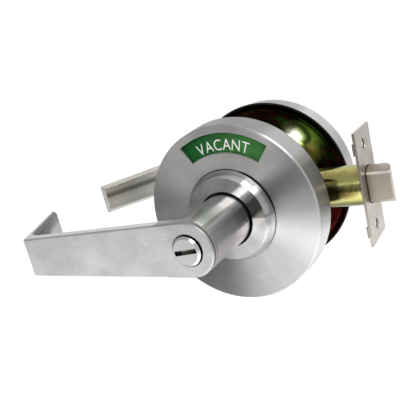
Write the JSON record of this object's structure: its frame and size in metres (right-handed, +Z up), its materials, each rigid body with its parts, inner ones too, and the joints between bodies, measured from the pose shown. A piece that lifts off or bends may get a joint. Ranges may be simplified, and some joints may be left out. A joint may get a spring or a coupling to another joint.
{
  "type": "privacy lever handle",
  "caption": "Privacy lever handle for a bored door, with round roses, returned levers, an indicator window, a coin turn, a turn button and a bevelled spring latch.",
  "frame": {"origin": "on the lever axis at mid thickness of the door, the centre of the door's cross bore", "axes": "+X to the door's edge and the latch, -Y to the outside of the door with the window, +Y to the inside, +Z up"},
  "size_m": [0.194, 0.1591, 0.09],
  "materials": {
    "satin_steel": "satin, brushed",
    "clear_window": "clear",
    "indicator_body": "mill",
    "green_foil": "gloss print",
    "red_foil": "gloss print",
    "plated_steel": "zinc plated",
    "plated_casting": "dark iridescent plating",
    "bare_steel": "plain",
    "spring_steel": "drawn wire",
    "gold_plated_steel": "yellow plating",
    "faceplate_steel": "satin",
    "latchbolt_metal": "satin"
  },
  "bodies": {
    "chassis": {"outside_rose": "satin_steel", "inside_rose": "satin_steel", "window_lens": "clear_window", "outside_mounting_plate": "plated_steel", "inside_mounting_plate": "plated_casting", "through_bolts": "plated_steel", "outside_hub": "plated_steel", "inside_hub": "plated_steel", "chassis_housing": "plated_steel", "retractor_frame": "bare_steel", "latch_tube": "gold_plated_steel", "latch_faceplate": "faceplate_steel", "outside_return_spring": "spring_steel", "inside_return_spring": "spring_steel", "retractor_springs": "spring_steel", "latch_spring": "spring_steel"},
    "outside_lever": {"outside_lever": "satin_steel", "outside_lever_catch": "spring_steel", "outside_spindle": "bare_steel", "outside_spring_driver": "bare_steel"},
    "inside_lever": {"inside_lever": "satin_steel", "inside_lever_catch": "spring_steel", "inside_spindle": "bare_steel", "inside_spring_driver": "bare_steel"},
    "retractor": {"retractor": "bare_steel"},
    "latchbolt": {"latchbolt": "latchbolt_metal", "latch_tail": "bare_steel"},
    "privacy_turn": {"coin_turn": "satin_steel", "turn_button": "satin_steel", "turn_clips": "spring_steel", "lock_bar": "bare_steel", "indicator_driver_pin": "bare_steel"},
    "indicator": {"indicator_disc": "indicator_body", "vacant_foil": "green_foil", "occupied_foil": "red_foil"}
  },
  "joints": [
    {"name": "outside_lever_turn", "type": "hinge", "parent": "chassis", "child": "outside_lever", "pos_m": [0, 0, 0], "axis": [0, -1, 0], "range_deg": [0, 50], "stiffness_Nm_per_rad": 1.2, "springref_deg": -22.92},
    {"name": "inside_lever_turn", "type": "hinge", "parent": "chassis", "child": "inside_lever", "pos_m": [0, 0, 0], "axis": [0, -1, 0], "range_deg": [0, 50], "stiffness_Nm_per_rad": 1.2, "springref_deg": -22.92},
    {"name": "retractor_slide", "type": "slide", "parent": "chassis", "child": "retractor", "axis": [-1, 0, 0], "range_m": [0, 0.01222], "deforming": ["retractor_springs"]},
    {"name": "latchbolt_slide", "type": "slide", "parent": "chassis", "child": "latchbolt", "axis": [-1, 0, 0], "range_m": [0, 0.01222], "deforming": ["latch_spring"]},
    {"name": "privacy_turn", "type": "hinge", "parent": "chassis", "child": "privacy_turn", "pos_m": [0, 0, 0], "axis": [0, -1, 0], "range_deg": [0, 90]},
    {"name": "indicator_turn", "type": "hinge", "parent": "chassis", "child": "indicator", "pos_m": [0, 0, 0], "axis": [0, -1, 0], "range_deg": [0, 90]}
  ],
  "couplings": [
    {"joint": "retractor_slide", "follows": "outside_lever_turn", "m_per_rad": 0.014},
    {"joint": "latchbolt_slide", "follows": "outside_lever_turn", "m_per_rad": 0.014},
    {"joint": "indicator_turn", "follows": "privacy_turn", "ratio": 1}
  ]
}
